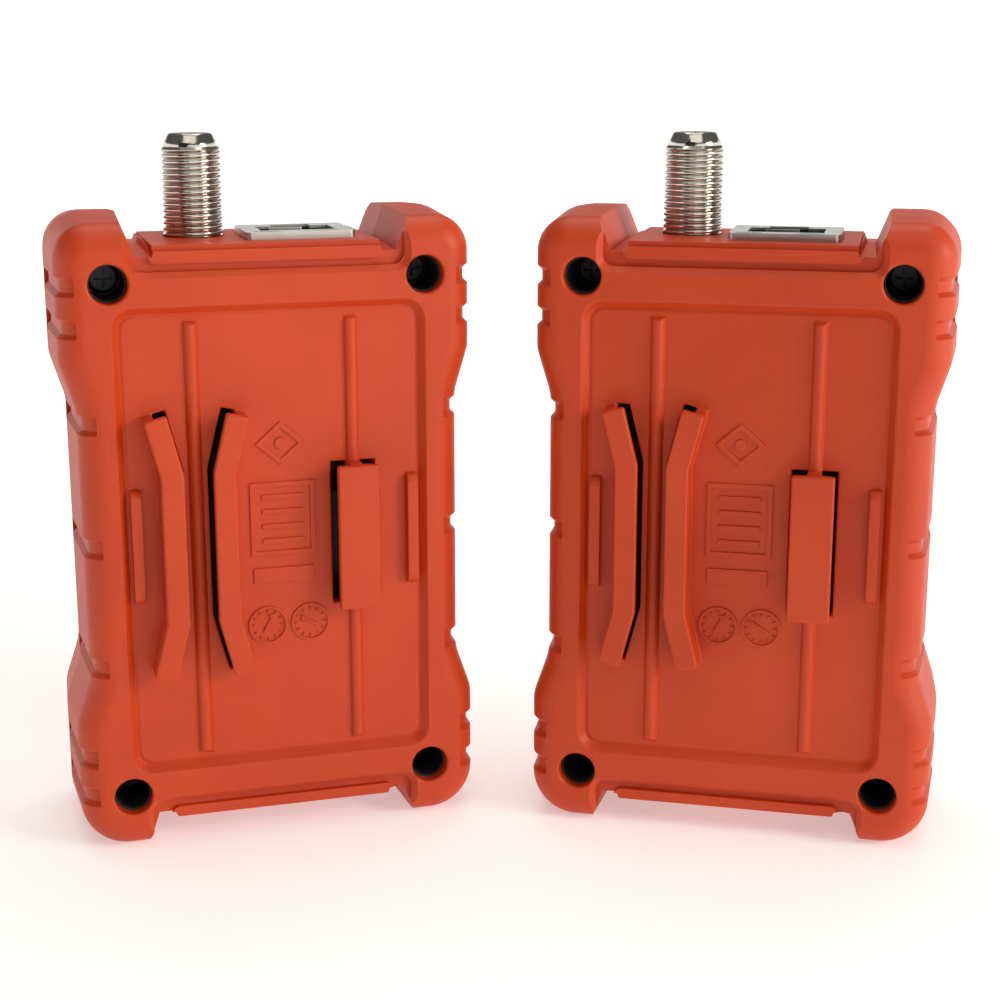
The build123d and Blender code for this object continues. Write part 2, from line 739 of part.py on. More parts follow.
with BuildPart() as case_screws:
    extrude(circles_sketch(at_depth(screw_seat_y), screws, screw_head_r), amount=screw_head_t)
    crown = case_screws.edges().filter_by(lambda e: near(e.center().Y, screw_seat_y - screw_head_t))
    fillet(crown, screw_head_round)
    extrude(circles_sketch(at_depth(screw_seat_y), screws, screw_r), amount=-screw_length)
    with BuildSketch(at_depth(screw_seat_y - screw_head_t)):
        with Locations(*screws):
            Rectangle(screw_slot[0], screw_slot[1])
            Rectangle(screw_slot[1], screw_slot[0])
    extrude(amount=-screw_slot[2], mode=Mode.SUBTRACT)
keep(case_screws.part, "case_screws")

# ================= Connector plate =================
with BuildPart() as plate:
    extrude(box_sketch(Plane.XY.offset(plate_low), -plate_half_x, plate_half_x, plate_back_y,
                       plate_front), amount=plate_thick)
    extrude(box_sketch(Plane.XY.offset(plate_low), jack_x - jack_width / 2 - fit,
                       jack_x + jack_width / 2 + fit, jack_back_y - fit, board_back + fit,
                       jack_corner), amount=plate_thick, mode=Mode.SUBTRACT)
    extrude(circles_sketch(Plane.XY.offset(plate_low), [(coax_x, coax_y)], coax_r + fit),
            amount=plate_thick, mode=Mode.SUBTRACT)
keep(plate.part, "connector_plate")

# ================= Coax socket =================
coax_axis = Axis((coax_x, coax_y, 0), (0, 0, 1))
coax_base_low = plate_low - coax_base_length
coax_step = plate_low - coax_shoulder
coax_crest = 0.1 * coax_pitch     # flat on each crest
coax_pin_top = coax_top - coax_face_drop - coax_pin_drop
coax_centre = [(coax_x, coax_y)]
with BuildPart() as coax_barrel:
    with BuildSketch(Plane.XZ.offset(-coax_y)):
        with BuildLine():
            crest, root = coax_x + coax_r, coax_x + coax_r - coax_thread_depth
            first = coax_top - coax_nose - coax_threads * coax_pitch
            turns = [(coax_x + coax_bore_r, coax_step), (coax_x + coax_shank_r, coax_step),
                     (coax_x + coax_shank_r, first - coax_crest), (crest, first - coax_crest),
                     (crest, first)]
            for turn in range(coax_threads):
                low = first + turn * coax_pitch
                turns += [(root, low + 0.45 * coax_pitch), (crest, low + coax_pitch - coax_crest),
                          (crest, low + coax_pitch)]
            turns += [(root, coax_top - coax_nose + 0.1), (root, coax_top - coax_nose + 0.5),
                      (root - 0.75, coax_top - 0.25), (root - 1.0, coax_top),
                      (coax_x + coax_bore_r, coax_top)]
            Polyline(*turns, close=True)
        make_face()
    revolve(axis=coax_axis)
    extrude(box_sketch(Plane.XY.offset(coax_base_low), coax_x - coax_base / 2,
                       coax_x + coax_base / 2, board_back - coax_base_depth, board_back),
            amount=coax_base_length)
    extrude(circles_sketch(Plane.XY.offset(coax_base_low), coax_centre, coax_low_r),
            amount=coax_step - coax_base_low, mode=Mode.SUBTRACT)
    extrude(circles_sketch(Plane.XY.offset(coax_step), coax_centre, coax_bore_r),
            amount=coax_top - coax_step, mode=Mode.SUBTRACT)
keep(coax_barrel.part, "coax_barrel")

with BuildPart() as coax_insulator:
    extrude(circles_sketch(Plane.XY.offset(coax_base_low), coax_centre, coax_low_r),
            amount=coax_step - coax_base_low)
    extrude(circles_sketch(Plane.XY.offset(coax_step), coax_centre, coax_bore_r),
            amount=coax_top - coax_face_drop - coax_step)
    extrude(circles_sketch(Plane.XY.offset(coax_base_low), coax_centre, coax_pin_r),
            amount=coax_pin_top - coax_base_low, mode=Mode.SUBTRACT)
    extrude(circles_sketch(Plane.XY.offset(coax_pin_top), coax_centre, coax_pin_hole),
            amount=coax_top - coax_pin_top, mode=Mode.SUBTRACT)
keep(coax_insulator.part, "coax_insulator")

with BuildPart() as coax_contact:
    extrude(circles_sketch(Plane.XY.offset(coax_base_low - coax_tail), coax_centre, coax_pin_r),
            amount=coax_pin_top - coax_base_low + coax_tail)
    extrude(box_sketch(Plane.XY.offset(coax_base_low - coax_tail), coax_x - coax_tail_width / 2,
                       coax_x + coax_tail_width / 2, coax_y, board_back), amount=coax_tail_width)
    extrude(circles_sketch(Plane.XY.offset(coax_step), coax_centre, coax_pin_hole),
            amount=coax_pin_top - coax_step, mode=Mode.SUBTRACT)
keep(coax_contact.part, "coax_contact")

# ================= Network socket =================
jack_left, jack_right = jack_x - jack_width / 2, jack_x + jack_width / 2
plug_left, plug_right = jack_x - plug_width / 2, jack_x + plug_width / 2
plug_back_y = jack_back_y + plug_inset
latch_y = plug_back_y + plug_depth
with BuildPart() as jack_shield:
    extrude(box_sketch(Plane.XY.offset(jack_low), jack_left, jack_right, jack_back_y, board_back,
                       jack_corner), amount=jack_length)
    extrude(box_sketch(Plane.XY.offset(jack_low), jack_left + jack_sheet, jack_right - jack_sheet,
                       jack_back_y + jack_sheet, board_back - jack_sheet, jack_corner - jack_sheet),
            amount=jack_length - jack_sheet, mode=Mode.SUBTRACT)
    extrude(box_sketch(Plane.XY.offset(jack_top), plug_left, plug_right, plug_back_y, latch_y),
            amount=-jack_sheet, mode=Mode.SUBTRACT)
    extrude(box_sketch(Plane.XY.offset(jack_top), jack_x - latch_width / 2,
                       jack_x + latch_width / 2, latch_y, latch_y + latch_depth),
            amount=-jack_sheet, mode=Mode.SUBTRACT)
    slot_length, slot_width = shield_slot_size
    slot_back = jack_back_y + shield_slot_inset
    for x in (jack_left + shield_slots[0], jack_right + shield_slots[1]):
        extrude(box_sketch(Plane.XY.offset(jack_top), x - slot_length / 2, x + slot_length / 2,
                           slot_back, slot_back + slot_width, 0.35),
                amount=-jack_sheet, mode=Mode.SUBTRACT)
keep(jack_shield.part, "jack_shield")

with BuildPart() as jack_insert:
    extrude(box_sketch(Plane.XY.offset(jack_low), jack_left + jack_skin, jack_right - jack_skin,
                       jack_back_y + jack_skin, board_back - jack_skin, jack_corner - jack_sheet),
            amount=jack_length - jack_skin)
    extrude(box_sketch(Plane.XY.offset(jack_top), plug_left, plug_right, plug_back_y, latch_y),
            amount=-plug_reach, mode=Mode.SUBTRACT)
    extrude(box_sketch(Plane.XY.offset(jack_top), jack_x - latch_width / 2,
                       jack_x + latch_width / 2, latch_y, latch_y + latch_depth),
            amount=-plug_reach, mode=Mode.SUBTRACT)
keep(jack_insert.part, "jack_insert")

with BuildPart() as jack_contacts:
    for wire in range(8):
        x = jack_x + (wire - 3.5) * contact_pitch
        with BuildSketch(Plane.YZ.offset(x - contact_width / 2)):
            with BuildLine():
                high, low = jack_top - contact_high, jack_top - contact_low
                tip_y = plug_back_y + contact_reach
                Polyline((plug_back_y, high), (plug_back_y + contact_thick, high), (tip_y, low),
                         (tip_y - contact_thick, low - contact_thick),
                         (plug_back_y, high - 2 * contact_thick), close=True)
            make_face()
        extrude(amount=contact_width)
keep(jack_contacts.part, "jack_contacts")

# ================= Battery, its contacts and door =================
with BuildPart() as battery:
    extrude(box_sketch(Plane.XY.offset(battery_low), -battery_width / 2, battery_width / 2,
                       battery_y - battery_depth / 2, battery_y + battery_depth / 2,
                       battery_corner), amount=battery_height)
    for x, radius in studs:
        extrude(circles_sketch(Plane.XY.offset(battery_top), [(x, battery_y)], radius),
                amount=stud_height)
keep(battery.part, "battery")

block_low = battery_top + stud_height + 0.05
with BuildPart() as contact_block:
    extrude(box_sketch(Plane.XY.offset(block_low), -block_half_x, block_half_x,
                       board_back - block_arm, board_front + block_foot),
            amount=board_low - block_low)
    extrude(box_sketch(Plane.XY.offset(block_low), -block_half_x, block_half_x,
                       board_back - block_arm, board_back),
            amount=board_low - block_low + block_lap)
keep(contact_block.part, "battery_contact_block")

door_low = door_sill - end_z
with BuildPart() as door:
    extrude(box_sketch(at_depth(front_y - door_thick), -door_half_x, door_half_x, door_low,
                       door_top), amount=-door_thick)
    extrude(box_sketch(at_depth(front_y - door_lip), -door_half_x - door_tongue,
                       door_half_x + door_tongue, door_low, door_top - door_gap),
            amount=door_tongue_thick)
    for row in range(door_ridges):
        low = door_top - door_ridge_drop - door_ridge_pitch * row
        extrude(box_sketch(at_depth(front_y), -door_ridge_half_x, door_ridge_half_x,
                           low - door_ridge_width, low, 0.4), amount=-door_ridge_height)
    extrude(box_sketch(at_depth(front_y - door_thick), -door_ridge_half_x, door_ridge_half_x,
                       *(door_top - drop for drop in door_pad_drops)), amount=door_pad)
keep(door.part, "battery_door")

# ================= Place both units =================
places = {
    "main": Location((-unit_spacing / 2, 0, half_height), (0, 0, main_toe_in)),
    "remote": Location((unit_spacing / 2, -unit_stagger, half_height), (0, 0, -remote_toe_in)),
}
placed = {}
for part, name, units in pieces:
    for unit in units:
        placed[unit + "_" + name] = part.moved(places[unit])

boxes = [part.bounding_box() for part in placed.values()]
centring = Location((
    -(min(box.min.X for box in boxes) + max(box.max.X for box in boxes)) / 2,
    -(min(box.min.Y for box in boxes) + max(box.max.Y for box in boxes)) / 2,
    -min(box.min.Z for box in boxes),
))
for name, part in placed.items():
    node = part.moved(centring)
    node.label = name
    export_step(node, "parts/%s.step" % name)

for unit, place in places.items():
    spot = centring * place
    print(unit, "stands at", tuple(round(v, 4) for v in spot.position),
          "turned", round(spot.orientation.Z, 3))
print("keys travel", key_travel, "and battery doors", door_travel)
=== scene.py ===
# %% [markdown]
# # A pair of cable testers
# Two orange hand-held testers stand side by side with their backs to the viewer. One
# drives a signal into a cable and the other answers at the far end, and for carrying
# they slide together back to back, by the hooks and the block on their back shells.
# This lesson dresses their exact mechanical model: it softens the moulded edges, cuts
# real threads, adds the small raised marks that a mould leaves and mixes every finish
# from noise and arithmetic. The first cell loads the fixed model and measures it.

# %% Load the fixed model
import json
import math

import bmesh
import bpy
from mathutils import Matrix, Vector, geometry

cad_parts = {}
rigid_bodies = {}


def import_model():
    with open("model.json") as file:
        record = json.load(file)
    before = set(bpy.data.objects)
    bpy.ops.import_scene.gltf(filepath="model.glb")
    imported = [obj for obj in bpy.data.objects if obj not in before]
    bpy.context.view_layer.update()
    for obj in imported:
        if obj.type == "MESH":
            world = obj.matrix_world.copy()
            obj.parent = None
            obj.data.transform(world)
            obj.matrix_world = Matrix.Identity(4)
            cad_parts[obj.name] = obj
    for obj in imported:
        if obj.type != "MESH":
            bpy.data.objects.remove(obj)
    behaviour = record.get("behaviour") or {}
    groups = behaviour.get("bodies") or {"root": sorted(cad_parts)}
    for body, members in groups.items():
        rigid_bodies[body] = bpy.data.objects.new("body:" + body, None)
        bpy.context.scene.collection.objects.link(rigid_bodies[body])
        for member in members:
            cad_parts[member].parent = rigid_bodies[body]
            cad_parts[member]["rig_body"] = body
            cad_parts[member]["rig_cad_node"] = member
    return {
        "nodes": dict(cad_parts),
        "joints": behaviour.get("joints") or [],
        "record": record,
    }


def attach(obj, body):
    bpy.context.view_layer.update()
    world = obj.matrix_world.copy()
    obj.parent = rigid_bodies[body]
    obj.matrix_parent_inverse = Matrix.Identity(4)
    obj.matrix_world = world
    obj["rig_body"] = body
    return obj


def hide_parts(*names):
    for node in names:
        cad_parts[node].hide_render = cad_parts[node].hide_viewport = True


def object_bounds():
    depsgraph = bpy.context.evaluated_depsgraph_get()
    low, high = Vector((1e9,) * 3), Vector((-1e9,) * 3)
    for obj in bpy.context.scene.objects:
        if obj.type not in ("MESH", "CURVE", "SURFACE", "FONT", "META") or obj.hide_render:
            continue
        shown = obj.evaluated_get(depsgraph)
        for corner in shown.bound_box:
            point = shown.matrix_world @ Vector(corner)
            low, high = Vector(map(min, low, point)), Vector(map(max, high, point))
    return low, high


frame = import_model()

cad_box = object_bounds()
nodes = frame["nodes"]
MM = 0.001
print("model", [tuple(round(v, 4) for v in corner) for corner in cad_box], len(nodes), "nodes")

# %% [markdown]
# Each unit stands turned a little on the floor, so a helper works out its place: the
# keys are pressed straight into the back, which gives the turn, and the four case
# screws are spread evenly round the unit's middle. With that matrix a detail is
# modelled once in the unit's own frame, where X runs to the right as seen from behind,
# the back faces -Y and Z is up, and is then carried to both units.

# %% Find where each unit stands
UNITS = ("main", "remote")


def own_corners(unit, node, turn):
    """Lowest and highest corner of a CAD node after its unit's turn is taken off."""
    points = [turn.inverted() @ v.co for v in nodes[f"{unit}_{node}"].data.vertices]
    low = Vector(min(p[i] for p in points) for i in range(3))
    high = Vector(max(p[i] for p in points) for i in range(3))
    return low, high


def unit_place(unit):
    """Matrix from the unit's own frame to the shared frame."""
    press = next(j for j in frame["joints"] if j["name"] == f"{unit}_power_key_press")
    turn = Matrix.Rotation(math.atan2(press["axis"][0], -press["axis"][1]), 4, "Z")
    low, high = own_corners(unit, "case_screws", turn)
    face = own_corners(unit, "front_shell", turn)[1].y - CASE_DEPTH / 2
    middle = Vector(((low.x + high.x) / 2, face, (low.z + high.z) / 2))
    return turn @ Matrix.Translation(middle)


CASE_DEPTH = 30 * MM
places = {unit: unit_place(unit) for unit in UNITS}
turns = {unit: places[unit].to_3x3().to_4x4() for unit in UNITS}


def own_box(unit, node):
    """A CAD node's box in its unit's own frame, for details that sit on it."""
    low, high = own_corners(unit, node, turns[unit])
    shift = turns[unit].inverted() @ places[unit].translation
    return low - shift, high - shift


for unit, place in places.items():
    spot = [round(v / MM, 2) for v in place.translation]
    print(unit, "stands at", spot, "mm, turned", round(math.degrees(place.to_euler().z), 1))

# %% [markdown]
# A product shot of small things is taken from a little above with a longish lens. The
# camera looks along +Y and slightly down. It is made before the looks, so that every
# later choice is judged through it.

# %% Camera
CAMERA_PLACE = Vector((-0.1, -294.3, 125.4)) * MM
CAMERA_DOWN = 13.8
CAMERA_LENS = 65.8

bpy.ops.object.camera_add(location=CAMERA_PLACE,
                          rotation=(math.radians(90 - CAMERA_DOWN), 0, 0))
camera = bpy.context.object
camera.name = "camera"
camera.data.lens = CAMERA_LENS
camera.data.clip_start = 0.01
bpy.context.scene.camera = camera
print("camera looks down", CAMERA_DOWN, "degrees through", CAMERA_LENS, "mm")

# %% [markdown]
# Studio light is a few large soft sources. The key light hangs high on the right, so
# right-hand flanks shine and left-hand ones fall into shade, which shows the relief of
# ribs and hooks. A weaker light in front opens the shadows, and one on the ceiling
# brightens every upward face. Polished metal only looks like metal when it has something
# dark to mirror, so a black card stands in front on the left, where the camera can't see
# it but the sockets can.

# %% Lights and world
LAMP_WARMTH = (1.0, 0.95, 0.87)


def soft_light(name, place, aim, size, watts):
    """A square area light at a place, turned towards a point."""
    bpy.ops.object.light_add(type="AREA", location=place)
    lamp = bpy.context.object
    lamp.name = name
    lamp.data.size = size
    lamp.data.energy = watts
    lamp.data.color = LAMP_WARMTH
    lamp.rotation_euler = (Vector(aim) - Vector(place)).to_track_quat("-Z", "Y").to_euler()
    return lamp


middle = (cad_box[0] + cad_box[1]) / 2
soft_light("front_light", (0.05, -0.68, 1.00), middle, 0.9, 3.0)
soft_light("right_light", (0.85, -0.42, 0.38), middle, 0.35, 5.0)
soft_light("ceiling_light", (0.0, 0.3, 1.1), middle, 0.9, 6.0)
world = bpy.data.worlds.new("studio")
bpy.context.scene.world = world
world.use_nodes = True
backdrop = world.node_tree.nodes["Background"]
backdrop.inputs["Color"].default_value = (1.0, 1.0, 1.0, 1.0)
backdrop.inputs["Strength"].default_value = 0.12
bpy.context.scene.view_settings.view_transform = "Standard"

# %% [markdown]
# Shader maths reads best as plain expressions. A small class wraps an output of a node
# and turns `+`, `-` and `*` into Math nodes, and a second class holds one finish and adds
# any other node from its type, its settings and its inputs. With these two, a finish is a
# few lines, and every number in it has a meaning that can be tried and changed.

# %% A small language for finishes
class Wire:
    """An output of a node. Arithmetic on it adds Math nodes."""

    def __init__(self, finish, socket):
        self.finish = finish
        self.socket = socket

    def _sum(self, operation, left, right):
        return self.finish.node("ShaderNodeMath", {"operation": operation}, {0: left, 1: right})

    def __add__(self, other):
        return self._sum("ADD", self, other)

    def __mul__(self, other):
        return self._sum("MULTIPLY", self, other)

    def __sub__(self, other):
        return self._sum("SUBTRACT", self, other)

    def __rsub__(self, other):
        return self._sum("SUBTRACT", other, self)

    __radd__ = __add__
    __rmul__ = __mul__


class Finish:
    """A material under construction, on the object's own coordinates."""

    def __init__(self, name, **shader):
        self.material = bpy.data.materials.new(name)
        self.material.use_nodes = True
        self.tree = self.material.node_tree
        self.shader = self.tree.nodes["Principled BSDF"]
        for socket, value in shader.items():
            self.set(socket.replace("_", " "), value)
        coordinates = self.tree.nodes.new("ShaderNodeTexCoord")
        self.place = Wire(self, coordinates.outputs["Object"])

    def node(self, kind, settings, inputs, output=0):
        """Adds a node, with its settings first, and returns one of its outputs."""
        made = self.tree.nodes.new(kind)
        for key, value in settings.items():
            if key == "stops":
                self._stops(made.color_ramp.elements, value)
            else:
                setattr(made, key, value)
        for key, value in inputs.items():
            self._feed(made.inputs[key], value)
        return Wire(self, made.outputs[output])

    def _stops(self, elements, stops):
        while len(elements) < len(stops):
            elements.new(0.5)
        for element, (place, colour) in zip(elements, stops):
            element.position = place
            element.color = colour if len(colour) == 4 else (*colour, 1.0)

    def _feed(self, socket, value):
        if isinstance(value, Wire):
            self.tree.links.new(value.socket, socket)
        else:
            socket.default_value = value

    def set(self, socket, value):
        """Sets or links one socket of the shader."""
        if isinstance(value, tuple) and len(value) == 3:
            value = (*value, 1.0)
        self._feed(self.shader.inputs[socket], value)

    def noise(self, grain, detail=2.0, stretch=None):
        """Noise from 0 to 1 whose blotches are about `grain` metres across."""
        where = self.place
        if stretch:
            where = self.node("ShaderNodeMapping", {}, {"Vector": where, "Scale": stretch})
        return self.node("ShaderNodeTexNoise", {}, {"Vector": where, "Scale": 1 / grain,
                                                    "Detail": detail})

    def ramp(self, factor, *stops):
        """Colour ramp. Each stop is a place from 0 to 1 and a colour."""
        return self.node("ShaderNodeValToRGB", {"stops": stops}, {"Fac": factor})

    def bump(self, height, depth):
        """Normal from a height of 0 to 1 that stands for `depth` metres."""
        return self.node("ShaderNodeBump", {}, {"Height": height, "Distance": depth})


print("finishes are made with", Finish.__name__, "and", Wire.__name__)

# %% [markdown]
# The cases are moulded from tough orange plastic. The mould's walls are spark-eroded, so
# the skin has a very fine grain that spreads the highlights. Three things make it look
# moulded rather than painted: a slow drift of colour where the plastic flowed, roughness
# that varies a little from place to place, and the grain itself as a shallow bump.

# %% Orange moulded plastic
def moulded_plastic(name, light, body, deep, roughness, grain_depth=8e-6):
    finish = Finish(name, Specular_IOR_Level=0.42)
    drift = finish.noise(26 * MM, 3.0)
    speck = finish.noise(0.55 * MM, 2.0)
    tone = drift * 0.8 + speck * 0.2
    finish.set("Base Color", finish.ramp(tone, (0.30, deep), (0.50, body), (0.72, light)))
    handled = finish.noise(9 * MM, 4.0)
    finish.set("Roughness", roughness + (handled - 0.5) * 0.10 + (speck - 0.5) * 0.08)
    grain = finish.noise(0.24 * MM, 3.0)
    finish.set("Normal", finish.bump(grain, grain_depth))
    return finish.material


ORANGE = moulded_plastic("moulded_orange", (0.59, 0.052, 0.004), (0.54, 0.045, 0.003),
                         (0.49, 0.038, 0.002), 0.50)
print("made", ORANGE.name)

# %% [markdown]
# The coax socket is turned brass with bright nickel plating, and the network socket's
# shield is tinned sheet, duller and drawn in one direction. Both are metals, so they
# mirror the room in their own tint. What tells them apart is roughness: nickel is nearly
# smooth with faint tool marks round it, while tin has streaks along the sheet.

# %% Metals
def plated_metal(name, tint, dark, roughness, spread, grain, stretch=(1, 1, 1), depth=2e-6):
    """Metal whose sheen wanders between two roughnesses along stretched blotches."""
    finish = Finish(name, Metallic=1.0)
    streaks = finish.noise(grain, 4.0, stretch)
    tarnish = finish.noise(6 * MM, 3.0)
    finish.set("Base Color", finish.ramp(tarnish * 0.6 + streaks * 0.4, (0.32, dark), (0.6, tint)))
    finish.set("Roughness", roughness + (streaks - 0.5) * spread)
    finish.set("Normal", finish.bump(streaks, depth))
    return finish.material


NICKEL = plated_metal("bright_nickel", (0.62, 0.59, 0.53), (0.50, 0.47, 0.42), 0.16, 0.12,
                      0.5 * MM, (1, 1, 6))
TIN = plated_metal("tinned_sheet", (0.58, 0.57, 0.53), (0.46, 0.45, 0.42), 0.34, 0.18,
                   0.4 * MM, (1, 8, 8))
GOLD = plated_metal("gold_flash", (0.90, 0.66, 0.27), (0.74, 0.50, 0.18), 0.22, 0.10, 0.3 * MM)
BLACK_STEEL = plated_metal("black_steel", (0.050, 0.048, 0.047), (0.026, 0.025, 0.024), 0.42,
                           0.20, 0.35 * MM)
JACKET = plated_metal("printed_jacket", (0.045, 0.047, 0.052), (0.028, 0.030, 0.034), 0.45, 0.16,
                      0.8 * MM, (1, 1, 5))
print("made", [m.name for m in (NICKEL, TIN, GOLD, BLACK_STEEL, JACKET)])

# %% [markdown]
# The dark plastics, the soft keys, the printed faceplate and the board share one recipe:
# two close shades mixed by noise, a roughness that wanders and a fine grain. The numbers
# differ: nylon is dull and coarse, key rubber is soft and even, the window is smooth and
# lets the lamps glow through it.

# %% Small plastic, rubber and resin parts
def grained(name, light, dark, roughness, grain, depth, spread=0.10, **shader):
    finish = Finish(name, **shader)
    mottle = finish.noise(grain * 14, 3.0)
    pore = finish.noise(grain, 3.0)
    finish.set("Base Color", finish.ramp(mottle * 0.6 + pore * 0.4, (0.35, dark), (0.65, light)))
    finish.set("Roughness", roughness + (mottle - 0.5) * spread)
    finish.set("Normal", finish.bump(pore, depth))
    return finish.material


NYLON = grained("black_nylon", (0.020, 0.020, 0.021), (0.012, 0.012, 0.013), 0.55, 0.2 * MM, 6e-6)
CHIP = grained("black_epoxy", (0.030, 0.030, 0.032), (0.018, 0.018, 0.020), 0.60, 0.15 * MM, 5e-6)
PRINT = grained("dark_print", (0.040, 0.042, 0.048), (0.030, 0.032, 0.037), 0.42, 0.18 * MM, 3e-6)
RUBBER = grained("soft_rubber", (0.115, 0.120, 0.130), (0.090, 0.095, 0.105), 0.62, 0.22 * MM, 6e-6)
INSULATOR = grained("white_dielectric", (0.86, 0.84, 0.78), (0.78, 0.75, 0.68), 0.50,
                    0.3 * MM, 3e-6)
RESIN = grained("lamp_resin", (0.30, 0.72, 0.26), (0.20, 0.58, 0.18), 0.30, 0.5 * MM, 1e-6)
WINDOW = grained("smoked_acrylic", (0.060, 0.022, 0.020), (0.045, 0.016, 0.015), 0.12, 0.9 * MM,
                 4e-7, 0.04, Alpha=0.72)
MASK = grained("solder_mask", (0.022, 0.19, 0.07), (0.014, 0.13, 0.05), 0.32, 0.6 * MM, 2e-6)
INK = grained("legend_ink", (0.82, 0.83, 0.84), (0.72, 0.73, 0.74), 0.50, 0.2 * MM, 2e-6)
print("made", [m.name for m in (NYLON, CHIP, PRINT, RUBBER, INSULATOR, RESIN, WINDOW, MASK, INK)])

# %% [markdown]
# The inner and smaller parts keep their exact meshes, because their shapes are right as
# they are. Each only gets its finish, by the name of the material slot that the model
# already states for it.

# %% Finishes on the exact parts
BY_SLOT = {
    "orange_shell": ORANGE, "socket_nickel": NICKEL, "shield_tin": TIN, "contact_gold": GOLD,
    "screw_steel": BLACK_STEEL, "battery_jacket": JACKET, "socket_plastic": NYLON,
    "chip_black": CHIP, "dark_face": PRINT, "grey_key": RUBBER, "insulator_white": INSULATOR,
    "led_resin": RESIN, "smoked_window": WINDOW, "board_green": MASK,
}
for part in frame["record"]["subparts"]:
    mesh = nodes[part["node"]].data
    mesh.materials.clear()
    mesh.materials.append(BY_SLOT[part["material_slot"]])

# %% [markdown]
# The exact model has razor-sharp edges, but a mould never gives one: every outside edge
# of the real case is rounded by a few tenths of a millimetre, and that thin line of
# highlight is what tells the eye the size of the thing. A Bevel modifier with one width
# for all edges would tear the case wherever a face is narrower than the round, such as
# beside the screw holes. So the room beside each edge is measured first, an unbroken
# chain of edges gets the width that its tightest place allows, and the modifier reads
# that from the bevel weights.

# %% Measure the room for a round
EDGE_SHARE = 0.42
LEAST_ROUND = 0.12
WEDGE = 0.82
SEAT_FLOOR, SEAT_HALF, SEAT_BACK = 40.5 * MM, 22.5 * MM, -14.3 * MM


def alone(piece):
    """Selects one object and makes it the active one."""
    bpy.ops.object.select_all(action="DESELECT")
    piece.select_set(True)
    bpy.context.view_layer.objects.active = piece


def gap_to(point, edge, along):
    """Distance from a point to an edge, where that edge lies sideways of the point."""
    start, end = (v.co for v in edge.verts)
    share = min(1.0, max(0.0, geometry.intersect_point_line(point, start, end)[1]))
    gap = start.lerp(end, share) - point
    sideways = (gap - along * gap.dot(along)).length
    return gap.length if sideways > gap.length / 2 else math.inf


def room_beside(edge):
    """How far the faces of an edge reach before the next edge across."""
    along = (edge.verts[1].co - edge.verts[0].co).normalized()
    room = math.inf
    for other in {e for face in edge.link_faces for e in face.edges} - {edge}:
        shared = set(other.verts) & set(edge.verts)
        if shared:
            corner = shared.pop()
            way = other.other_vert(corner).co - corner.co
            mine = edge.other_vert(corner).co - corner.co
            opening = way.normalized().dot(mine.normalized())
            if opening > WEDGE:
                return 0.0
            if opening > -0.8:
                room = min(room, way.length)
        else:
            room = min(room, *(gap_to(v.co, other, along) for v in edge.verts))
    return room


def chain_from(edge, sharp, seen):
    """The unbroken run of sharp edges that an edge belongs to."""
    chain, waiting = [], [edge]
    seen.add(edge)
    while waiting:
        chain.append(waiting.pop())
        for corner in chain[-1].verts:
            meeting = [e for e in corner.link_edges if e in sharp]
            if len(meeting) == 2:
                waiting += [e for e in meeting if e not in seen]
                seen.update(meeting)
    return chain


def in_seat(edge, home):
    """Whether an edge lies in the end plate's seat, whose broken-up faces stay sharp."""
    middle = home @ ((edge.verts[0].co + edge.verts[1].co) / 2)
    return middle.z > SEAT_FLOOR and abs(middle.x) < SEAT_HALF and middle.y > SEAT_BACK


def weigh_edges(piece, width, angle, home):
    """Gives each sharp chain a bevel weight that its surroundings have room for."""
    shape = bmesh.new()
    shape.from_mesh(piece.data)
    weight = (shape.edges.layers.float.get("bevel_weight_edge")
              or shape.edges.layers.float.new("bevel_weight_edge"))
    for edge in shape.edges:
        edge[weight] = 0.0
    sharp = {e for e in shape.edges
             if len(e.link_faces) == 2 and e.calc_face_angle(0) > math.radians(angle)}
    seen = set()
    for edge in shape.edges:
        if edge in sharp and edge not in seen:
            chain = chain_from(edge, sharp, seen)
            share = min(1.0, min(map(room_beside, chain)) * EDGE_SHARE / width)
            for member in chain:
                roomy = share > LEAST_ROUND and not in_seat(member, home)
                member[weight] = share if roomy else 0.0
    shape.to_mesh(piece.data)
    shape.free()


print("edges are given", EDGE_SHARE, "of the room beside them")

# %% [markdown]
# The model's triangles are left alone. A copy has its corners merged and its flat
# regions joined, then the bevel is applied, and a Weighted Normal modifier keeps the
# large flat faces flat to the light. The copy stands for the exact part, which stays
# hidden.

# %% Copies with softened edges
RIB_X, RIB_HALF, RIB_TOP = 12.5 * MM, 1.2 * MM, -14.8 * MM
RIB_END, RIB_ROUND = 36 * MM, 0.55 * MM
MERGE_WITHIN = 0.002 * MM
FLAT_WITHIN = 0.6
ROUND_STEPS = 2


def apply(piece, kind, **settings):
    """Adds one modifier with its settings and applies it."""
    alone(piece)
    modifier = piece.modifiers.new(kind.lower(), kind)
    for key, value in settings.items():
        setattr(modifier, key, value)
    bpy.ops.object.modifier_apply(modifier=modifier.name)


def smooth(piece, angle=35):
    """Shades smoothly across gentle edges, with flat faces kept flat."""
    alone(piece)
    bpy.ops.object.shade_smooth_by_angle(angle=math.radians(angle))
    apply(piece, "WEIGHTED_NORMAL", keep_sharp=True)


def finished(piece, name, finish, body):
    """Names a piece, gives it its finish and lets it ride on a body."""
    piece.name = name
    piece.data.materials.clear()
    piece.data.materials.append(finish)
    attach(piece, body)
    return piece


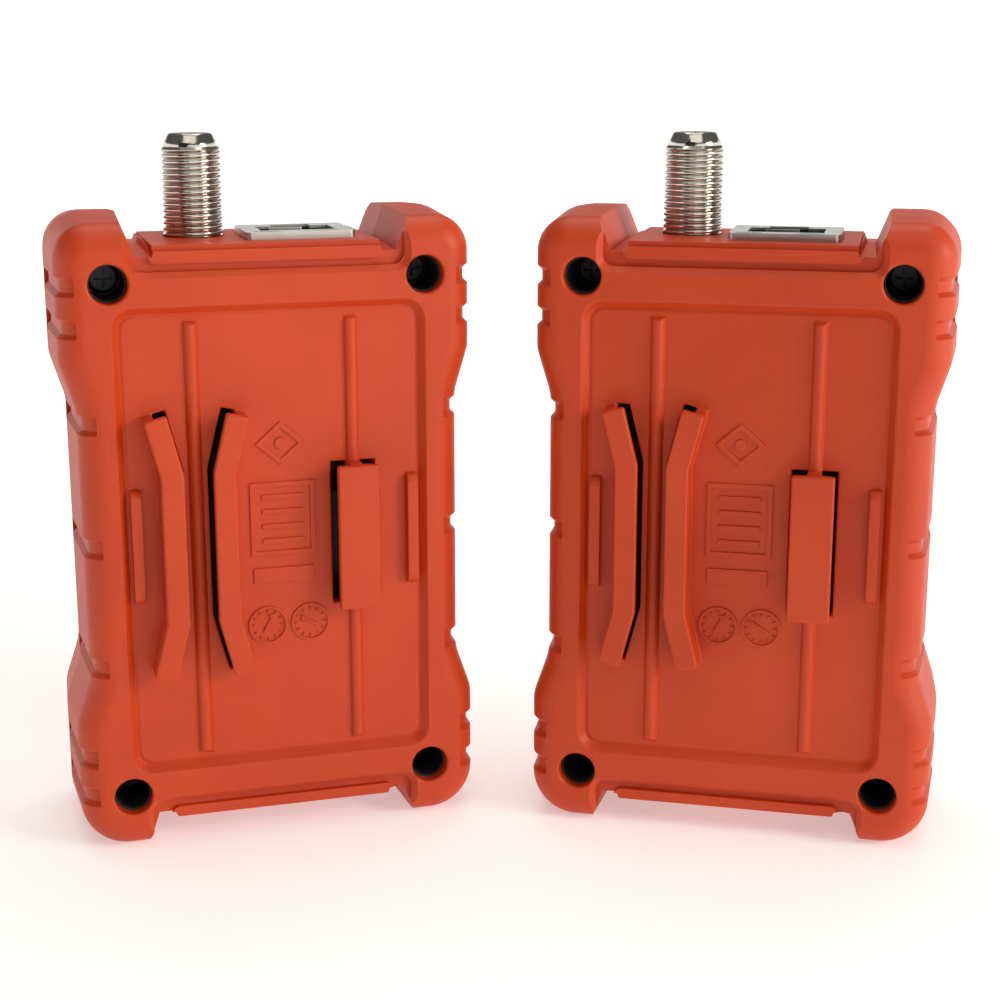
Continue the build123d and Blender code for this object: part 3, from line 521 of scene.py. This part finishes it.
def merged_copy(node):
    """A copy of a CAD node whose triangles are joined into clean faces."""
    alone(nodes[node])
    bpy.ops.object.duplicate()
    piece = bpy.context.object
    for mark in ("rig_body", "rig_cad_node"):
        del piece[mark]
    bpy.ops.object.mode_set(mode="EDIT")
    bpy.ops.mesh.select_all(action="SELECT")
    bpy.ops.mesh.customdata_custom_splitnormals_clear()
    bpy.ops.mesh.remove_doubles(threshold=MERGE_WITHIN)
    bpy.ops.mesh.dissolve_limited(angle_limit=math.radians(FLAT_WITHIN))
    bpy.ops.object.mode_set(mode="OBJECT")
    return piece


def body_of(node):
    """The body that a CAD node belongs to."""
    bodies = frame["record"]["behaviour"]["bodies"]
    return next(body for body, members in bodies.items() if node in members)


def round_ribs(piece, unit):
    """Rounds the crests of the two long ribs, picked by their place on the back."""
    shape = bmesh.new()
    shape.from_mesh(piece.data)
    weight = shape.edges.layers.float.new("bevel_weight_edge")
    home = places[unit].inverted()
    crests = 0
    for edge in shape.edges:
        ends = [home @ v.co for v in edge.verts]
        if all(abs(abs(p.x) - RIB_X) < RIB_HALF and abs(p.y - RIB_TOP) < 0.05 * MM
               and abs(p.z) < RIB_END for p in ends) and abs(ends[0].z - ends[1].z) > 1 * MM:
            edge[weight] = 1.0
            crests += 1
    shape.to_mesh(piece.data)
    shape.free()
    apply(piece, "BEVEL", width=RIB_ROUND, segments=3, limit_method="WEIGHT",
          use_clamp_overlap=False)
    print(piece.name, "rounds", crests, "crest edges")


def softened(node, name, finish, width, angle=32):
    """A copy of a CAD node with rounded edges, which stands for the node."""
    piece = merged_copy(node)
    if node.endswith("back_shell"):
        round_ribs(piece, node.split("_")[0])
    weigh_edges(piece, width, angle, places[node.split("_")[0]].inverted())
    apply(piece, "BEVEL", width=width, segments=ROUND_STEPS, limit_method="WEIGHT",
          use_clamp_overlap=False)
    smooth(piece)
    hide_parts(node)
    return finished(piece, name, finish, body_of(node))


SOFT_EDGES = {
    "back_shell": ("back_case", ORANGE, "orange_shell", 0.30 * MM),
    "front_shell": ("front_case", ORANGE, "orange_shell", 0.30 * MM),
    "connector_plate": ("top_plate", ORANGE, "orange_shell", 0.20 * MM),
    "battery_door": ("door_cover", ORANGE, "orange_shell", 0.20 * MM),
    "jack_shield": ("socket_shield", TIN, "shield_tin", 0.18 * MM),
    "faceplate": ("printed_face", PRINT, "dark_face", 0.15 * MM),
    "power_key": ("power_pad", RUBBER, "grey_key", 0.40 * MM),
    "test_key": ("test_pad", RUBBER, "grey_key", 0.40 * MM),
    "tone_key": ("tone_pad", RUBBER, "grey_key", 0.40 * MM),
}
for unit in UNITS:
    for node, (part, finish, slot, width) in SOFT_EDGES.items():
        if f"{unit}_{node}" in nodes:
            copy = softened(f"{unit}_{node}", f"{unit}_{part}", finish, width)
            print(copy.name, len(copy.data.polygons), "faces")

# %% [markdown]
# Moulded cases carry small raised marks, cut as shallow sinks in the mould: a bar, a
# lozenge, a grille and two date dials. They stand only 0.3 mm proud and have the colour
# of the case, so only light shows them. Each mark is drawn flat from polygons and bars,
# thickened by a Solidify modifier and softened by a Bevel. A recess or an engraving made
# with a Boolean would do too, but added relief is simpler and leaves the case alone.

# %% Flat shapes for marks
MARK_SINK = 0.10 * MM
MARK_PROUD = 0.30 * MM
BACK_WARD = Matrix.Rotation(math.radians(90), 4, "X")
FRONT_WARD = Matrix.Rotation(math.radians(180), 4, "Z") @ BACK_WARD


def flat_frame(x, z, wide, high, sides=4, rim=None, turn=45):
    """A flat polygon of a size, in mm, hollowed to a rim unless it stays full."""
    bpy.ops.object.select_all(action="DESELECT")
    bpy.ops.mesh.primitive_circle_add(vertices=sides, radius=1, fill_type="NGON",
                                      rotation=(0, 0, math.radians(turn)))
    piece = bpy.context.object
    bpy.ops.object.transform_apply(location=False, rotation=True, scale=True)
    corners = piece.data.vertices
    spread_x = max(v.co.x for v in corners) * 2
    spread_y = max(v.co.y for v in corners) * 2
    for corner in corners:
        corner.co = Vector((corner.co.x * wide / spread_x + x,
                            corner.co.y * high / spread_y + z, 0)) * MM
    if rim:
        bpy.ops.object.mode_set(mode="EDIT")
        bpy.ops.mesh.select_all(action="SELECT")
        bpy.ops.mesh.inset(thickness=rim * MM)
        bpy.ops.mesh.delete(type="FACE")
        bpy.ops.object.mode_set(mode="OBJECT")
    return piece


def flat_bar(x, z, length, width, turn=0.0):
    """A flat bar with its middle at a place, in mm, turned in its plane."""
    piece = flat_frame(0, 0, length, width)
    piece.data.transform(Matrix.Translation((x * MM, z * MM, 0))
                         @ Matrix.Rotation(math.radians(turn), 4, "Z"))
    return piece


def joined(pieces):
    """One object out of several."""
    bpy.ops.object.select_all(action="DESELECT")
    for piece in pieces:
        piece.select_set(True)
    bpy.context.view_layer.objects.active = pieces[0]
    bpy.ops.object.join()
    return bpy.context.object


def raised(piece, sink, proud, edge):
    """Gives a flat drawing its thickness, from below the surface to above it."""
    piece.data.transform(Matrix.Translation((0, 0, -sink)))
    apply(piece, "SOLIDIFY", thickness=sink + proud, offset=1.0)
    apply(piece, "BEVEL", width=edge, segments=ROUND_STEPS, limit_method="ANGLE")
    return piece


def placed_copy(piece, place):
    """A copy with its own mesh, carried from the unit's frame to the shared frame."""
    copy = piece.copy()
    copy.data = piece.data.copy()
    bpy.context.scene.collection.objects.link(copy)
    copy.data.transform(place)
    return copy


def drop(piece):
    """Removes a pattern that has been copied to its places."""
    bpy.data.objects.remove(piece)


print("marks sink", MARK_SINK / MM, "mm and stand", MARK_PROUD / MM, "mm proud")

# %% [markdown]
# The marks are drawn once for both units, in millimetres from the middle of the back. A
# date dial is a ring with ticks and a pointer, which a moulder turns when the month
# changes.

# %% Raised marks on the backs
DIAL_TICKS = 12
PANEL_DEPTH = -13.9 * MM


def date_dial(x, z, radius, pointer):
    """A ring with ticks and a pointer, as a mould's date insert leaves it."""
    shapes = [flat_frame(x, z, 2 * radius, 2 * radius, 40, 0.38, 0)]
    for tick in range(DIAL_TICKS):
        angle = math.tau * tick / DIAL_TICKS
        reach = radius - 0.85
        shapes.append(flat_bar(x + reach * math.cos(angle), z + reach * math.sin(angle),
                               0.5, 0.22, math.degrees(angle)))
    shapes.append(flat_bar(x, z, radius * 0.9, 0.42, pointer))
    tip = Vector((math.cos(math.radians(pointer)), math.sin(math.radians(pointer))))
    shapes.append(flat_frame(x + tip.x * radius * 0.45, z + tip.y * radius * 0.45, 1.1, 1.1, 3,
                             None, pointer))
    return shapes


shapes = [flat_frame(0.9, 15.2, 8.0, 7.0, 4, 0.75, 0), flat_frame(0.9, 15.2, 1.9, 1.9, 20, None, 0)]
shapes += [flat_frame(1.0, 3.0, 10.4, 12.0, 4, 0.8)]
shapes += [flat_bar(1.0, 3.0 + 2.4 * step, 6.6, 0.8) for step in (-1.5, -0.5, 0.5, 1.5)]
shapes += [flat_bar(0.9, -6.25, 9.6, 2.5)]
shapes += date_dial(-1.9, -14.5, 3.15, 60) + date_dial(5.0, -14.5, 3.15, 150)
marks = raised(joined(shapes), MARK_SINK, MARK_PROUD, 0.11 * MM)
smooth(marks)
for unit in UNITS:
    marks_place = places[unit] @ Matrix.Translation((0, PANEL_DEPTH, 0)) @ BACK_WARD
    finished(placed_copy(marks, marks_place), f"{unit}_moulded_marks", ORANGE,
             f"{unit}_unit")
print("marks of", len(marks.data.polygons), "faces")
drop(marks)

# %% [markdown]
# The coax socket is a turned barrel with a real thread. The exact model only has rings of
# the same depth and pitch, which look right from afar, but a thread climbs, and a close
# look shows it. A short profile of one turn is wound round the axis by a Screw modifier,
# cut level at both ends and trimmed by a ring with sloped ends, which gives the first
# turns their run-in. The barrel's own copy is turned down to the root of the thread and
# the two are joined by a Boolean, so that the bore, the shank and the block stay exact.

# %% Wind and trim the thread
COAX_AXIS = (-9.4 * MM, 1.5 * MM)
THREAD_ROOT, THREAD_CREST, THREAD_PITCH = 4.3425, 4.7625, 0.94
THREAD_FROM, THREAD_TO, THREAD_INSIDE = 46.4, 60.6, 4.0
TURN_STEPS, SPARE_TURNS, LEVEL_SPARE = 48, 3, 0.2
RUN_IN, RIM_OVER, CREST_OVER = 0.45, 0.05, 0.02


def wound(name, profile, closed, pitch=0.0, turns=1):
    """A profile of radius and height, in mm, wound round the upright axis."""
    drawing = bpy.data.meshes.new(name)
    links = [(i, i + 1) for i in range(len(profile) - 1)]
    if closed:
        links.append((len(profile) - 1, 0))
    drawing.from_pydata([(r * MM, 0, z * MM) for r, z in profile], links, [])
    piece = bpy.data.objects.new(name, drawing)
    bpy.context.scene.collection.objects.link(piece)
    apply(piece, "SCREW", axis="Z", angle=math.tau, screw_offset=pitch * MM, iterations=turns,
          steps=TURN_STEPS, render_steps=TURN_STEPS, use_merge_vertices=True,
          merge_threshold=0.001 * MM)
    return piece


def closed_outward(piece):
    """Merges doubles and turns every face outwards."""
    alone(piece)
    bpy.ops.object.mode_set(mode="EDIT")
    bpy.ops.mesh.select_all(action="SELECT")
    bpy.ops.mesh.remove_doubles(threshold=0.001 * MM)
    bpy.ops.mesh.normals_make_consistent(inside=False)
    bpy.ops.object.mode_set(mode="OBJECT")


def cut_level(piece, height, above):
    """Cuts a piece level at a height, in mm, and closes the cut."""
    alone(piece)
    bpy.ops.object.mode_set(mode="EDIT")
    bpy.ops.mesh.select_all(action="SELECT")
    bpy.ops.mesh.bisect(plane_co=(0, 0, height * MM), plane_no=(0, 0, 1), use_fill=True,
                        clear_outer=above, clear_inner=not above)
    bpy.ops.object.mode_set(mode="OBJECT")


def combine(piece, operation, other):
    """Applies a Boolean with another piece, which is used up."""
    apply(piece, "BOOLEAN", operation=operation, object=other, solver="EXACT")
    drop(other)


crest_turn = ((THREAD_ROOT, 0.0), (THREAD_CREST - 0.12, 0.19), (THREAD_CREST - 0.03, 0.28),
              (THREAD_CREST, 0.40), (THREAD_CREST, 0.54), (THREAD_CREST - 0.03, 0.66),
              (THREAD_CREST - 0.12, 0.75), (THREAD_ROOT, THREAD_PITCH))
turn_count = math.ceil((THREAD_TO - THREAD_FROM) / THREAD_PITCH) + SPARE_TURNS
winding = wound("winding", crest_turn, False, THREAD_PITCH, turn_count)
winding.data.transform(Matrix.Translation((0, 0, (THREAD_FROM - 1.5 * THREAD_PITCH) * MM)))
closed_outward(winding)
cut_level(winding, THREAD_FROM - LEVEL_SPARE, False)
cut_level(winding, THREAD_TO + LEVEL_SPARE, True)
closed_outward(winding)
limit = ((THREAD_INSIDE, THREAD_FROM), (THREAD_ROOT + RIM_OVER, THREAD_FROM),
         (THREAD_CREST + CREST_OVER, THREAD_FROM + RUN_IN),
         (THREAD_CREST + CREST_OVER, THREAD_TO - RUN_IN),
         (THREAD_ROOT + RIM_OVER, THREAD_TO), (THREAD_INSIDE, THREAD_TO))
ring = wound("ring", limit, True)
closed_outward(ring)
combine(winding, "INTERSECT", ring)
print("thread of", turn_count - SPARE_TURNS, "turns,", len(winding.data.polygons), "faces")

# %% [markdown]
# The barrel is modelled once, on the first unit's axis. It is turned down by a stepped
# solid, wide below the thread and as slim as the root above it, and what both solids
# share is kept. Then the thread is added and each unit gets a copy.

# %% Join the thread to its barrel
STEP_WIDE, STEP_LOW, STEP_HIGH = 30, 20, 70
STEP_DOWN, ROOT_UNDER = 0.1, 0.04
first = UNITS[0]
barrel = merged_copy(f"{first}_coax_barrel")
barrel.data.transform(places[first].inverted())
barrel.data.transform(Matrix.Translation((-COAX_AXIS[0], -COAX_AXIS[1], 0)))
stepped = ((0, STEP_LOW), (STEP_WIDE, STEP_LOW), (STEP_WIDE, THREAD_FROM - STEP_DOWN),
           (THREAD_ROOT - ROOT_UNDER, THREAD_FROM - STEP_DOWN),
           (THREAD_ROOT - ROOT_UNDER, STEP_HIGH), (0, STEP_HIGH))
turned_down = wound("turned_down", stepped, False)
closed_outward(turned_down)
combine(barrel, "INTERSECT", turned_down)
combine(barrel, "UNION", winding)
smooth(barrel, 40)
for unit in UNITS:
    place = places[unit] @ Matrix.Translation((*COAX_AXIS, 0))
    piece = placed_copy(barrel, place)
    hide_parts(f"{unit}_coax_barrel")
    finished(piece, f"{unit}_coax_thread", NICKEL, f"{unit}_unit")
print("barrel of", len(barrel.data.polygons), "faces")
drop(barrel)

# %% [markdown]
# Seen from outside, the four deep screw wells are black almost from their mouths, because
# they lie in deep shade. That shade is painted: a black sleeve is put in each well, from a
# little below the mouth down to the screw's head, where the real wells have no lining. It
# is a small lathe shape, wound with the same helper as the thread, and laid down so that
# its axis runs into the back.

# %% Sleeves of painted shade in the screw wells
WELL_X, WELL_Z = 24.5, 41.1
SHADE_SLEEVE_OUT, SHADE_SLEEVE_IN, SHADE_SLEEVE_MOUTH, SHADE_SLEEVE_END = 2.96, 2.72, -12.9, -4.6

profile = ((SHADE_SLEEVE_IN, -SHADE_SLEEVE_END), (SHADE_SLEEVE_OUT, -SHADE_SLEEVE_END), (SHADE_SLEEVE_OUT, -SHADE_SLEEVE_MOUTH),
           (SHADE_SLEEVE_OUT - 0.08, -SHADE_SLEEVE_MOUTH + 0.08), (SHADE_SLEEVE_IN + 0.08, -SHADE_SLEEVE_MOUTH + 0.08),
           (SHADE_SLEEVE_IN, -SHADE_SLEEVE_MOUTH))
# A black sleeve of painted shade, standing for the dark depth of each well
shade_sleeve = wound("shade_sleeve", profile, True)
closed_outward(shade_sleeve)
shade_sleeve.data.transform(Matrix.Rotation(math.radians(90), 4, "X"))
wells = [placed_copy(shade_sleeve, Matrix.Translation((x * WELL_X * MM, 0, z * WELL_Z * MM)))
         for x in (-1, 1) for z in (-1, 1)]
drop(shade_sleeve)
shade_lining = joined(wells)
smooth(shade_lining, 40)
for unit in UNITS:
    # The sleeves are painted shade: black nylon put where the deep wells fall into shade
    finished(placed_copy(shade_lining, places[unit]), f"{unit}_well_painted_shade", NYLON,
             f"{unit}_unit")
print("sleeves of", len(shade_lining.data.polygons), "faces")
drop(shade_lining)

# %% [markdown]
# Inside the network socket a springy tin leaf presses on the plug's metal. Only its top
# shows: a light patch between two dark gaps. It is drawn flat, thickened and softened as
# the marks are.

# %% Leaf springs in the network sockets
LEAF_X, LEAF_Z, LEAF_WIDE, LEAF_HIGH, LEAF_Y = 5.1, 45.9, 5.4, 3.4, 0.30
leaf = raised(joined([flat_frame(LEAF_X, LEAF_Z, LEAF_WIDE, LEAF_HIGH)]), 0.0, 0.30 * MM, 0.12 * MM)
smooth(leaf)
for unit in UNITS:
    place = places[unit] @ Matrix.Translation((0, LEAF_Y * MM, 0)) @ BACK_WARD
    finished(placed_copy(leaf, place), f"{unit}_socket_leaf", TIN, f"{unit}_unit")
print("leaf of", len(leaf.data.polygons), "faces")
drop(leaf)

# %% [markdown]
# The fronts are for the fingers and the eyes. Pale legends are printed on the dark face:
# a plain number under each lamp, with a bar under the last one for the screen of the
# cable, and a thin frame round the lamps. The soft keys carry a sign each. The print is a
# film a few hundredths of a millimetre thick, made as the raised marks are; the numbers
# start as text objects, which become meshes before they are placed.

# %% Legends on the fronts
INK_SINK, INK_PROUD = 0.02 * MM, 0.03 * MM
LAMP_PITCH, LAMP_COUNT, NUMBER_HEIGHT = 4.0, 9, 2.1
NUMBER_ROW, FRAME_ROW = 26.9, 33.0


def number(text, x, z, height):
    """A plain number as a flat mesh, centred at a place in mm."""
    bpy.ops.object.text_add(location=(0, 0, 0))
    piece = bpy.context.object
    piece.data.body = text
    piece.data.align_x = "CENTER"
    piece.data.align_y = "CENTER"
    piece.data.size = height * MM * 1.4
    alone(piece)
    bpy.ops.object.convert(target="MESH")
    piece = bpy.context.object
    piece.data.transform(Matrix.Translation((x * MM, z * MM, 0)))
    return piece


def film(pieces):
    """Flat drawings joined into one film of ink."""
    sheet = joined(pieces)
    bpy.ops.object.mode_set(mode="EDIT")
    bpy.ops.mesh.select_all(action="SELECT")
    bpy.ops.mesh.remove_doubles(threshold=0.001 * MM)
    bpy.ops.mesh.normals_make_consistent(inside=False)
    bpy.ops.object.mode_set(mode="OBJECT")
    if sheet.data.polygons[0].normal.z < 0:
        sheet.data.flip_normals()
    sheet.data.transform(Matrix.Translation((0, 0, -INK_SINK)))
    apply(sheet, "SOLIDIFY", thickness=INK_SINK + INK_PROUD, offset=1.0)
    return sheet


lamp_row = [(lamp - (LAMP_COUNT - 1) / 2) * LAMP_PITCH for lamp in range(LAMP_COUNT)]
prints = [number(str(lamp), x, NUMBER_ROW, NUMBER_HEIGHT)
          for lamp, x in enumerate(lamp_row[:-1], 1)]
prints += [flat_bar(lamp_row[-1], NUMBER_ROW, 1.9, 0.45),
           flat_frame(0, FRAME_ROW, 39.4, 9.4, 4, 0.35), flat_bar(0, 22.4, 38.0, 0.3)]
legend = film(prints)
for unit in UNITS:
    face = own_box(unit, "faceplate")[1].y
    place = places[unit] @ Matrix.Translation((0, face, 0)) @ FRONT_WARD
    finished(placed_copy(legend, place), f"{unit}_legend", INK, f"{unit}_unit")
print("legend of", len(legend.data.polygons), "faces")
drop(legend)

# %% [markdown]
# Each kind of key has its own plain sign, drawn by a small recipe: a broken ring for
# power, a triangle for the test and bars for the tone. A sign rides on its key, so it
# goes down with it.

# %% Signs on the keys
SIGNS = {
    "power": lambda: [flat_frame(0, 0, 3.4, 3.4, 36, 0.42, 0), flat_bar(0, 1.1, 1.7, 0.5, 90)],
    "test": lambda: [flat_frame(0.15, 0, 3.0, 3.2, 3, None, 0)],
    "tone": lambda: [flat_bar(x, 0, high, 0.5, 90)
                     for x, high in ((-1.2, 1.2), (0, 3.2), (1.2, 1.9))],
}
for unit in UNITS:
    for key, draw in SIGNS.items():
        if f"{unit}_{key}_key" not in nodes:
            continue
        low, high = own_box(unit, f"{key}_key")
        top = Matrix.Translation(((low.x + high.x) / 2, high.y, (low.z + high.z) / 2))
        sign = film(draw())
        sign.data.transform(places[unit] @ top @ FRONT_WARD)
        finished(sign, f"{unit}_{key}_sign", INK, f"{unit}_{key}_key")

# %% [markdown]
# The floor is plain and pale. It is a wide disc whose rim curves up like a paper
# backdrop, so that no horizon shows from any side. The disc is a circle filled and
# then extruded up and out in a few steps, and smooth shading softens the bend.

# %% Floor
FLOOR_RADIUS = 1.6
PAPER_GLOW = 0.38
FAR_GLOW = 0.80
RIM_STEPS = ((0.35, 0.06), (0.25, 0.22), (0.08, 0.45))

bpy.ops.object.select_all(action="DESELECT")
bpy.ops.mesh.primitive_circle_add(vertices=64, radius=FLOOR_RADIUS, fill_type="NGON")
floor = bpy.context.object
floor.name = "studio_floor"
bpy.ops.object.mode_set(mode="EDIT")
bpy.ops.mesh.select_all(action="SELECT")
bpy.ops.mesh.inset(thickness=0.2)
bpy.ops.mesh.select_mode(type="EDGE")
bpy.ops.mesh.select_all(action="SELECT")
bpy.ops.mesh.region_to_loop()
reach = FLOOR_RADIUS
for out, up in RIM_STEPS:
    bpy.ops.mesh.extrude_edges_move(TRANSFORM_OT_translate={"value": (0, 0, up)})
    grow = (reach + out) / reach
    bpy.ops.transform.resize(value=(grow, grow, 1))
    reach += out
bpy.ops.object.mode_set(mode="OBJECT")
bpy.ops.object.shade_smooth()
paper = Finish("floor_paper", Roughness=0.9)
paper.set("Base Color", paper.ramp(paper.noise(0.4, 2.0), (0.3, (0.86, 0.86, 0.86)),
                                   (0.7, (0.88, 0.88, 0.88))))
distance = paper.node("ShaderNodeVectorMath", {"operation": "LENGTH"}, {0: paper.place}, "Value")
paper.set("Emission Color", paper.ramp(distance * (1 / FLOOR_RADIUS), (0.12, (PAPER_GLOW,) * 3),
                                       (0.6, (FAR_GLOW,) * 3)))
paper.set("Emission Strength", 1.0)
floor.data.materials.append(paper.material)
print("floor reaches", reach, "m")
# %% [markdown]
# The black card for the metals. It is part of the studio and not of the object, and the
# camera can't see it, but reflections can.

# %% Black card
CARD_PLACE = (-0.27, -0.70, 0.25)
CARD_AIM = (-0.05, 0, 0.10)
CARD_WIDE, CARD_HIGH = 0.62, 0.8
bpy.ops.object.select_all(action="DESELECT")
bpy.ops.mesh.primitive_grid_add(x_subdivisions=4, y_subdivisions=4, size=1)
card = bpy.context.object
card.name = "black_card"
facing = (Vector(CARD_AIM) - Vector(CARD_PLACE)).to_track_quat("Z", "Y")
card.data.transform(Matrix.Translation(CARD_PLACE) @ facing.to_matrix().to_4x4()
                    @ Matrix.Diagonal((CARD_WIDE, CARD_HIGH, 1, 1)))
felt = Finish("black_felt", Roughness=1.0)
felt.set("Base Color", felt.ramp(felt.noise(0.01, 2.0), (0.3, (0.004,) * 3), (0.7, (0.008,) * 3)))
card.data.materials.append(felt.material)
card.visible_camera = False
print("card at", CARD_PLACE)
